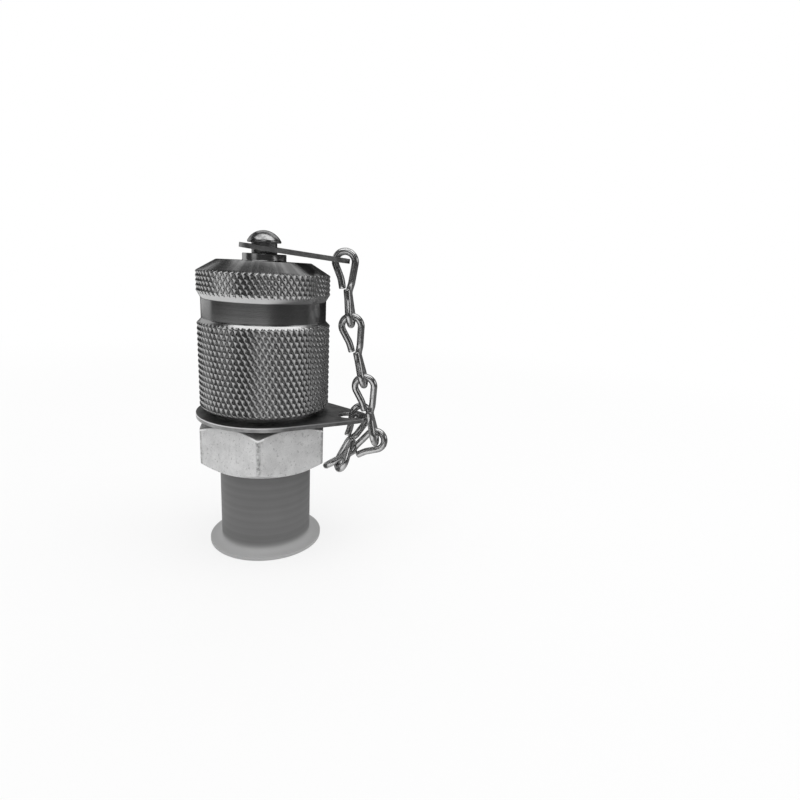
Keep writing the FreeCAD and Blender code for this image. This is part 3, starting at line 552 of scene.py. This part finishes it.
def knurled_cap():
    """Cap: bored inside, knurled on grip and rim, with a cone, a flat top and a boss for the rivet.

    Inside, wall and top are grids with the same columns. Quads cover the inside and the top and join both
    to the wall, which is cut into triangles.
    """
    columns = 2 * KNURL_COUNT * KNURL_FINE
    angle = angles(columns)
    inside = turned(softened([
        (0, WELL_TOP), (WELL_R, WELL_TOP), (WELL_R, BORE_TOP), (BORE_R, BORE_TOP), (BORE_R, GROOVE_TOP),
        (GROOVE_R, GROOVE_TOP), (GROOVE_R, GROOVE_LOW), (BORE_R, GROOVE_LOW), (BORE_R, MOUTH_TOP),
        (MOUTH_R, MOUTH_TOP), (MOUTH_R, CAP_LOW), (GRIP_R - CAP_CHAMFER, CAP_LOW)],
        radius=0.15, steps=3), angle)
    close = np.linspace(0, CLOSE_ROWS, 4)
    heights = np.unique(np.concatenate([
        [CAP_LOW + FIRST_ROW, GRIP_TOP],
        NECK_LOW + close,
        NECK_TOP - close,
        RIM_TOP + CONE_ROWS + close,
        band_rows(GRIP_BAND, CAP_LOW, NECK_LOW),
        band_rows(RIM_BAND, NECK_TOP + CLOSE_ROWS, RIM_TOP + CLOSE_ROWS)]).round(5))
    wall = around(cap_wall(heights[:, None], angle[None]), heights[:, None], angle[None])
    cone_half = RIM_TOP + (CONE_TOP - RIM_TOP) * (RIM_R - CONE_HALF_R) / (RIM_R - CONE_R)
    top = turned(softened([
        (CONE_HALF_R, cone_half), (CONE_R, CONE_TOP), (BOSS_R + FILLET, CONE_TOP),
        (BOSS_R, CONE_TOP + FILLET), (BOSS_R, BOSS_TOP), (RIVET_HOLE_R, BOSS_TOP),
        (RIVET_HOLE_R, RIVET_HOLE_LOW), (0, RIVET_HOLE_LOW)], radius=0.12), angle)
    wall_start = len(inside) * columns
    wall_end = wall_start + (len(heights) - 1) * columns
    faces = skin(len(inside) + 1, columns).tolist()
    faces += (skin(len(top) + 1, columns) + wall_end).tolist()
    faces += (split(heights, angle) + wall_start).tolist()
    points = np.vstack([inside, wall, top])
    put("knurled_cap", points, "cap", "cap_shell", knurled_steel(), crease=24, faces=faces)


def screw(height, angle, radius, pitch, deep):
    """Radius of a right-hand thread: a wave of straight flanks that climbs one pitch a turn.

    The wave is stretched about its middle and cut flat at crest and root.
    """
    wave = np.abs((height / pitch - angle / FULL) % 1.0 - 0.5) * 2
    return radius - deep * np.clip(wave * THREAD_FLANK - (THREAD_FLANK - 1) / 2, 0, 1)


def hex_body():
    """Body: port with a pipe thread, hex, collar and nose with the cap's thread, and the valve bore inside.

    The hex's rows follow its edges: at each angle the flat lies at half the flats over the cosine of the
    angle from the flat's middle, and the end bevels are a cone through the round end face.
    """
    angle = angles(BODY_COLUMNS, HEX_TURN)
    turn = angle[None]
    bore = turned([
        (CHAMBER_R, CHAMBER_TOP), (CHAMBER_R, CLIP_TOP), (CLIP_R, CLIP_TOP), (CLIP_R, CLIP_LOW),
        (CHAMBER_R, CLIP_LOW), (CHAMBER_R, PORT_LOW)], angle)
    rows = np.arange(PORT_LOW, PORT_NECK_LOW, PORT_ROW)[:, None]
    chamfer = PORT_R - PORT_CHAMFER + (rows - PORT_LOW)
    port = around(np.minimum(screw(rows, turn, PORT_R, PORT_PITCH, PORT_DEEP), chamfer), rows, turn)
    under = turned([
        (PORT_NECK_R, PORT_NECK_LOW), (PORT_NECK_R, RECESS_TOP), (RECESS_R, RECESS_TOP), (RECESS_R, HEX_LOW),
        (HEX_FACE_R - HEX_EASE, HEX_LOW), (HEX_FACE_R, HEX_LOW + HEX_FACE_EASE)], angle)
    flat = HEX_FLATS / 2 / np.cos((angle - HEX_TURN) % (FULL / 6) - FULL / 12)
    flat = np.minimum(flat, HEX_CORNER_R - HEX_BLUNT)
    drop = (flat - HEX_FACE_R) * HEX_SLOPE
    low, high = HEX_LOW + drop, HEX_TOP - drop
    # Rows as shares of a side's height, close together at its ends, where they are pulled in.
    share = np.array([0, 0.012, 0.03, 0.2, 0.5, 0.8, 0.97, 0.988, 1])[:, None]
    ease = HEX_EASE * np.array([1, 0.3, 0, 0, 0, 0, 0, 0.3, 1])[:, None]
    sides = around(flat[None] - ease, low + (high - low) * share, turn)
    collar = turned([
        (HEX_FACE_R, HEX_TOP - HEX_FACE_EASE), (HEX_FACE_R - HEX_EASE, HEX_TOP), (THREAD_R + FILLET, HEX_TOP),
        (THREAD_R, HEX_TOP + FILLET), (THREAD_R, COLLAR_TOP - COLLAR_BEVEL),
        (THREAD_R - COLLAR_BEVEL_R, COLLAR_TOP), (UNDERCUT_R, COLLAR_TOP)], angle)
    rows = np.arange(THREAD_LOW, THREAD_TOP, THREAD_ROW)[:, None]
    chamfer = THREAD_R - THREAD_CHAMFER + np.minimum(rows - THREAD_LOW, THREAD_TOP - rows)
    thread = around(np.minimum(screw(rows, turn, THREAD_R, THREAD_PITCH, THREAD_DEEP), chamfer), rows, turn)
    nose = turned([
        (NOSE_R, THREAD_TOP), (NOSE_R, NOSE_TOP - NOSE_CHAMFER), (NOSE_R - NOSE_CHAMFER, NOSE_TOP),
        (SEAT_R, NOSE_TOP), (SEAT_R, CHAMBER_TOP), (CHAMBER_R, CHAMBER_TOP)], angle)
    points = np.vstack([bore, port, under, sides, collar, thread, nose])
    put("hex_body", points, "body", "coupling_body", plated_hex(), crease=28)


def domed_rivet():
    """Rivet: shank, shoulder and a head whose dome is an arc of a circle."""
    sphere = (HEAD_R ** 2 + DOME ** 2) / (2 * DOME)
    sweep = math.asin(HEAD_R / sphere) * (1 - np.linspace(0, 1, DOME_POINTS))
    dome = np.stack([sphere * np.sin(sweep), HEAD_TOP - sphere * (1 - np.cos(sweep))], 1)
    base = softened([
        (0, SHANK_LOW), (SHANK_R, SHANK_LOW), (SHANK_R, BOSS_TOP), (SHOULDER_R, BOSS_TOP),
        (SHOULDER_R, HEAD_LOW), (HEAD_R, HEAD_LOW), dome[0]], radius=0.1)
    points = turned(np.vstack([base, dome[1:]]), angles(RIVET_COLUMNS))
    put("domed_rivet", points, "cap", "cap_rivet", bright_rivet())


def push_on_protector():
    """Protector: a closed sleeve whose flange runs into it in a hollow curve, a quarter of an ellipse."""
    turn = np.linspace(0, 1, FLARE_POINTS) * math.pi / 2
    flare_r = FLANGE_R - (FLANGE_R - SLEEVE_R) * np.sin(turn)
    flare_height = FLANGE_TOP + FLARE * (1 - np.cos(turn))
    flange = softened([(0, 0), (FLANGE_R, 0), (FLANGE_R, FLANGE_TOP)], radius=0.18)[:-1]
    sleeve = softened([
        (SLEEVE_R, SLEEVE_LOW), (SLEEVE_R, SLEEVE_TOP), (SLEEVE_BORE_R, SLEEVE_TOP),
        (SLEEVE_BORE_R, SLEEVE_FLOOR), (0, SLEEVE_FLOOR)], radius=0.16)
    outline = np.vstack([flange, np.stack([flare_r, flare_height], 1), sleeve])
    points = turned(outline, angles(PROTECTOR_COLUMNS))
    material = protector_plastic()
    put("push_on_protector", points, "protector", "thread_protector", material)


def link_loop():
    """Centre line of a link's upper loop, from its free end over the crown to where it leaves its plane.

    The legs are the tangents to the crown's circle from two points beside the link's middle. The free one
    ends in a parabola that turns upright and stops beside the neck.
    """
    middle = LINK_HALF - CROWN_R
    foot = LINK_NECK / 2
    reach = math.hypot(middle, foot)
    tilt = math.asin(CROWN_R / reach) - math.atan(foot / middle)
    lean = math.tan(tilt)
    top = math.sqrt(reach ** 2 - CROWN_R ** 2) * math.cos(tilt)
    t = np.linspace(0, 1, END_POINTS)[:-1]
    bend = (END_SIDE - foot) / lean
    end_side = END_SIDE + t ** 2 * (foot + END_LEAVE * lean - END_SIDE)
    end_height = (1 - t) ** 2 * END_STOP + 2 * t * (1 - t) * bend + t ** 2 * END_LEAVE
    rise = np.linspace(END_LEAVE, top, RISE_POINTS)[:-1]
    turn = np.linspace(math.pi + tilt, -tilt, CROWN_POINTS)
    fall = np.linspace(top, LINK_BEND, FALL_POINTS)[1:]
    across = np.concatenate([-end_side, -foot - rise * lean, CROWN_R * np.cos(turn), foot + fall * lean])
    height = np.concatenate([end_height, rise, middle + CROWN_R * np.sin(turn), fall])
    return np.stack([across, np.zeros_like(across), height], 1)


def link_line():
    """Centre line of a link's wire: two loops at right angles, joined by a cubic curve along both legs."""
    upper = link_loop()
    lower = upper[::-1] * (1, 1, -1) @ np.array([(0, 1, 0), (1, 0, 0), (0, 0, 1)])
    leg = (upper[-2] - upper[-1]) / (upper[-2, 2] - upper[-1, 2])
    near = upper[-1] - leg * LINK_BEND * 2 / 3
    far = near[[1, 0, 2]] * (1, 1, -1)
    t = np.linspace(0, 1, NECK_POINTS)[1:-1, None]
    ends = (1 - t) ** 3 * upper[-1] + t ** 3 * lower[0]
    neck = ends + 3 * t * (1 - t) ** 2 * near + 3 * t ** 2 * (1 - t) * far
    return np.vstack([upper, neck, lower])


def tube(line, radius, sides, across):
    """Round wire along a line: at each point a circle square to the line.

    The circle starts square to the direction across, which the line never takes. The ends are closed by
    circles that shrink to the line, so the cut has a small round edge.
    """
    forward = np.gradient(line, axis=0)
    forward /= np.linalg.norm(forward, axis=1, keepdims=True)
    first = np.cross(forward, across)
    first /= np.linalg.norm(first, axis=1, keepdims=True)
    second = np.cross(forward, first)
    inner = len(line) - 2
    size = np.concatenate([[0, CUT_FACE, CUT_EDGE], np.ones(inner), [CUT_EDGE, CUT_FACE, 0]])
    index = np.concatenate([[0, 0, 0], np.arange(1, inner + 1), [-1, -1, -1]])
    slip = np.concatenate([[0, 0, CUT_ROUND], np.zeros(inner), [-CUT_ROUND, 0, 0]])
    turn = angles(sides)[None, :, None]
    circle = np.cos(turn) * first[index][:, None] + np.sin(turn) * second[index][:, None]
    centre = line[index] + forward[index] * slip[:, None]
    return centre[:, None] + circle * (radius * size)[:, None, None]


def turning(axis, degrees):
    """Matrix of a turn about one of the axes."""
    return np.array(Matrix.Rotation(math.radians(degrees), 3, axis))


def hung(points, pivot, seat, lean, side=0.0, roll=0.0):
    """Points of a link, turned and moved so that its seat lies at the pivot in the chain's plane."""
    plane = turning("Z", CHAIN_TURN)
    pose = plane @ turning("X", side) @ turning("Y", -lean) @ turning("Z", roll)
    return (points - np.asarray(seat)) @ pose.T + plane @ np.asarray(pivot)


def wire_chain():
    """Five links: three hang below each other from the strap, one lies back, one hangs on the ring."""
    wire = tube(link_line(), WIRE_R, LINK_SIDES, across=(1.0, 1.0, 0.0))
    material = bright_wire()
    pivot = np.array(STRAP_PIVOT)
    seat = STRAP_SEAT
    places = []
    for lean in HANGING_LEANS:
        places.append((pivot, (0, 0, seat), lean))
        pivot = pivot - turning("Y", -lean) @ np.array([0, 0, seat + LINK_HALF])
        seat = LINK_SEAT
    places.append((pivot, SLACK_SEAT, SLACK_LEAN, SLACK_SIDE, SLACK_ROLL))
    places.append((RING_PIVOT, (0, 0, RING_SEAT), RING_LEAN, RING_SIDE, RING_ROLL))
    for number, place in enumerate(places, start=1):
        points = hung(wire, *place)
        node = "chain_link_%d" % number
        put("wire_link_%d" % number, points, "link_%d" % number, node, material, crease=50)


def coil_spring(material):
    """Valve spring: a wire along a helix between the node's ends."""
    low, high = (corner[2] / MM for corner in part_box("valve_spring"))
    share = np.linspace(0, 1, SPRING_POINTS)
    climb = low + SPRING_WIRE_R + share * (high - low - 2 * SPRING_WIRE_R)
    line = around(SPRING_R, climb, share * SPRING_TURNS * FULL)
    wire = tube(line, SPRING_WIRE_R, SPRING_SIDES, across=(0.0, 0.0, 1.0))
    piece = put("coil_spring", wire, "body", "valve_spring", material, crease=50)
    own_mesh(piece)


def coat(material, *nodes):
    """Gives a material to CAD nodes that show their own mesh."""
    for node in nodes:
        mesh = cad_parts[node].data
        mesh.materials.clear()
        mesh.materials.append(material)


def white_floor():
    """Matt white table: near white to the lens, with a shadow that is faint and ends away from the part.

    Reflections see the table end at its edge, and see it dark to the right of the part.
    """
    f = Finish("white_floor", {"Roughness": 1.0, "Specular IOR Level": 0.0})
    seen = f.add("ShaderNodeLightPath", out="Is Camera Ray")
    mirrored = f.add("ShaderNodeLightPath", out="Is Glossy Ray")
    edge = f.r.between(TABLE_R - TABLE_FADE, TABLE_R + TABLE_FADE)
    right = f.x.between(*TABLE_RIGHT) * 0.85
    f.feed(f.blend(mirrored * edge.math("MAXIMUM", edge, right), grey(0.9), grey(0.02)))
    shadowless = seen * (0.72 + f.r.between(*SHADOW_END) * 0.28)
    lit = Value(f, f.shader.outputs["BSDF"])
    glow = f.add("ShaderNodeEmission")
    mixed = f.add("ShaderNodeMixShader", {}, {0: shadowless, 1: lit, 2: glow})
    f.plug(f.tree.nodes["Material Output"].inputs["Surface"], mixed)
    return f.material


def studio_floor():
    """Flat square sheet that the part stands on."""
    half = FLOOR_SIDE / 2 * MM
    corners = [(-half, -half, 0), (half, -half, 0), (half, half, 0), (-half, half, 0)]
    mesh = bpy.data.meshes.new("floor")
    mesh.from_pydata(corners, [], [(0, 1, 2, 3)])
    mesh.materials.append(white_floor())
    sheet = bpy.data.objects.new("floor", mesh)
    bpy.context.scene.collection.objects.link(sheet)


def studio_room():
    """Room that is white to the lens, bright as soft light and dark in reflections, apart from the lamps."""
    world = bpy.data.worlds.new("studio")
    bpy.context.scene.world = world
    world.use_nodes = True
    room = Graph(world.node_tree)
    seen = room.add("ShaderNodeLightPath", out="Is Camera Ray")
    mirrored = room.add("ShaderNodeLightPath", out="Is Glossy Ray")
    strength = ROOM_LIGHT + seen * (1.0 - ROOM_LIGHT) - mirrored * (ROOM_LIGHT - ROOM_DARK)
    background = room.tree.nodes["Background"].inputs
    room.plug(background["Strength"], strength)
    room.plug(background["Color"], grey(1.0))


def axes(x, y, z, place):
    """Object matrix from its three axes and its place in millimetres."""
    matrix = np.eye(4)
    matrix[:3] = np.stack([x, y, z, np.asarray(place) * MM], 1)
    return Matrix(matrix.tolist())


def softbox(name, place, aim, width, height, radiance):
    """Soft rectangular lamp that points from its place to its aim, as bright as radiance in a mirror."""
    lamp = bpy.data.lights.new(name, "AREA")
    lamp.shape = "RECTANGLE"
    lamp.size = width * MM
    lamp.size_y = height * MM
    lamp.energy = math.pi * lamp.size * lamp.size_y * radiance
    item = bpy.data.objects.new(name, lamp)
    bpy.context.scene.collection.objects.link(item)
    z = np.subtract(place, aim).astype(float)
    z /= np.linalg.norm(z)
    overhead = z[2] > 0.99
    x = np.cross((0, 1, 0) if overhead else (0, 0, 1), z)
    x /= np.linalg.norm(x)
    item.matrix_world = axes(x, np.cross(z, x), z, place)


def photo_camera():
    """Camera that stands where the photograph's did: turned, tipped, and then rolled about its own axis."""
    forward = np.array([math.sin(YAW) * math.cos(PITCH), math.cos(YAW) * math.cos(PITCH), -math.sin(PITCH)])
    level = np.array([math.cos(YAW), -math.sin(YAW), 0.0])
    upward = np.cross(level, forward)
    right = level * math.cos(ROLL) + upward * math.sin(ROLL)
    above = upward * math.cos(ROLL) - level * math.sin(ROLL)
    lens = bpy.data.cameras.new("camera")
    lens.sensor_width = SENSOR
    lens.lens = SENSOR * FOCAL_PIXELS / PHOTO_PIXELS
    lens.clip_start = NEAREST * MM
    camera = bpy.data.objects.new("camera", lens)
    bpy.context.scene.collection.objects.link(camera)
    camera.matrix_world = axes(right, above, -forward, CAMERA_PLACE)
    bpy.context.scene.camera = camera


knurled_cap()
hex_body()
domed_rivet()
push_on_protector()
wire_chain()
oiled_steel = spring_steel()
coil_spring(oiled_steel)

coat(valve_steel(), "valve_seat", "spring_retainer", "valve_poppet")
coat(oiled_steel, "retaining_clip")
coat(seal_rubber(), "port_seal", "probe_seal", "poppet_seal", "cap_seal")
coat(stamped_sheet(), "chain_ring", "cap_strap")

studio_floor()
studio_room()
softbox("top_box", place=(40, -45, 330), aim=(40, -45, 0), width=520, height=210, radiance=1.5)
softbox("back_box", place=(70, 240, 290), aim=(0, 0, 40), width=360, height=190, radiance=0.6)
softbox("left_box", place=(-245, 220, 118), aim=(0, 0, 25), width=320, height=250, radiance=0.5)
softbox("right_box", place=(320, 60, 110), aim=(0, 0, 25), width=160, height=220, radiance=0.2)
softbox("ridge_box", place=(290, -130, 125), aim=(0, 0, 30), width=190, height=110, radiance=0.9)
softbox("side_box", place=(-270, -190, 120), aim=(0, 0, 30), width=150, height=110, radiance=0.4)
softbox("front_box", place=(-60, -420, 330), aim=(0, 0, 20), width=300, height=160, radiance=1.2)
photo_camera()
bpy.context.scene.view_settings.view_transform = "Standard"
